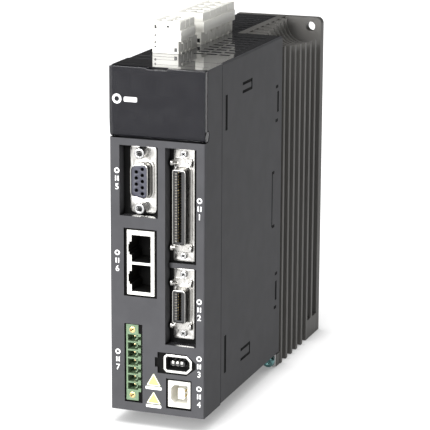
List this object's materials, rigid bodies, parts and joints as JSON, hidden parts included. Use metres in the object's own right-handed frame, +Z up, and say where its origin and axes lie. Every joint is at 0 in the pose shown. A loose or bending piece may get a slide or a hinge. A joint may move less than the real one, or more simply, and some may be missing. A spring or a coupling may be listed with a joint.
{
  "type": "servo drive",
  "caption": "Slim book-shaped servo drive: dark case with front sockets, hinged smoked display cover, side-finned heatsink with a rear mounting plate and pull-off power plugs on top.",
  "frame": {"origin": "middle of the bounding box's footprint, at the level of the heatsink's lower end", "axes": "+Z up the drive's tall side, +X to the right seen from the front, +Y from the front face to the mounting face"},
  "size_m": [0.045, 0.173, 0.1792],
  "materials": {
    "case_plastic": "fine moulded texture, satin",
    "panel_plastic": "matte",
    "smoked_window": "gloss, tinted",
    "key_rubber": "matte",
    "heatsink_metal": "extruded, dark satin",
    "steel": "plated",
    "shell_metal": "bright plated",
    "black_plastic": "matte",
    "blue_plastic": "satin",
    "white_plastic": "satin",
    "green_plastic": "satin",
    "contact_metal": "plated",
    "brass": "turned",
    "circuit_board": "solder mask",
    "can_sleeve": "shrink sleeve",
    "ferrite": "fired",
    "winding_tape": "tape",
    "copper_winding": "enamelled wire",
    "pad_rubber": "soft",
    "lamp_lens": "clear"
  },
  "bodies": {
    "drive": {"main_case": "case_plastic", "front_case": "case_plastic", "key_panel": "panel_plastic", "heatsink": "heatsink_metal", "earth_screws": "steel", "earth_washers": "steel", "case_screws": "steel", "connector_screws": "steel", "board_screws": "steel", "module_screws": "steel", "latch_brackets": "steel", "serial_hex_posts": "steel", "signal_shell": "shell_metal", "encoder_shell": "shell_metal", "link_shell": "shell_metal", "serial_shell": "shell_metal", "signal_insulator": "black_plastic", "encoder_insulator": "black_plastic", "link_tongue": "black_plastic", "power_module": "black_plastic", "rectifier": "black_plastic", "inrush_relay": "black_plastic", "current_sensors": "black_plastic", "control_chips": "black_plastic", "key_switches": "black_plastic", "board_connector": "black_plastic", "display_module": "black_plastic", "serial_insulator": "blue_plastic", "network_housing": "white_plastic", "usb_housing": "white_plastic", "usb_tongue": "white_plastic", "motor_header": "white_plastic", "power_header": "white_plastic", "terminal_header": "green_plastic", "signal_contacts": "contact_metal", "encoder_contacts": "contact_metal", "serial_sockets": "contact_metal", "network_contacts": "contact_metal", "terminal_pins": "contact_metal", "header_pins": "contact_metal", "terminal_inserts": "brass", "board_spacers": "brass", "display_board": "circuit_board", "control_board": "circuit_board", "power_board": "circuit_board", "bus_capacitors": "can_sleeve", "transformer_core": "ferrite", "transformer_winding": "winding_tape", "line_choke": "copper_winding", "thermal_pads": "pad_rubber", "charge_lamp": "lamp_lens"},
    "door": {"display_door": "smoked_window", "hinge_pins": "steel"},
    "mode_button": {"mode_key": "key_rubber"},
    "shift_button": {"shift_key": "key_rubber"},
    "up_button": {"up_key": "key_rubber"},
    "down_button": {"down_key": "key_rubber"},
    "set_button": {"set_key": "key_rubber"},
    "motor_connector": {"motor_plug": "white_plastic"},
    "power_connector": {"power_plug": "white_plastic"}
  },
  "joints": [
    {"name": "door_hinge", "type": "hinge", "parent": "drive", "child": "door", "pos_m": [0, -0.0839, 0.1353], "axis": [1, 0, 0], "range_deg": [0, 90]},
    {"name": "mode_press", "type": "slide", "parent": "drive", "child": "mode_button", "axis": [0, 1, 0], "range_m": [0, 0.0006], "stiffness_N_per_m": 900, "springref_m": -0.0006},
    {"name": "shift_press", "type": "slide", "parent": "drive", "child": "shift_button", "axis": [0, 1, 0], "range_m": [0, 0.0006], "stiffness_N_per_m": 900, "springref_m": -0.0006},
    {"name": "up_press", "type": "slide", "parent": "drive", "child": "up_button", "axis": [0, 1, 0], "range_m": [0, 0.0006], "stiffness_N_per_m": 900, "springref_m": -0.0006},
    {"name": "down_press", "type": "slide", "parent": "drive", "child": "down_button", "axis": [0, 1, 0], "range_m": [0, 0.0006], "stiffness_N_per_m": 900, "springref_m": -0.0006},
    {"name": "set_press", "type": "slide", "parent": "drive", "child": "set_button", "axis": [0, 1, 0], "range_m": [0, 0.0006], "stiffness_N_per_m": 900, "springref_m": -0.0006},
    {"name": "motor_unplug", "type": "slide", "parent": "drive", "child": "motor_connector", "axis": [0, 0, 1], "range_m": [0, 0.012]},
    {"name": "power_unplug", "type": "slide", "parent": "drive", "child": "power_connector", "axis": [0, 0, 1], "range_m": [0, 0.012]}
  ]
}
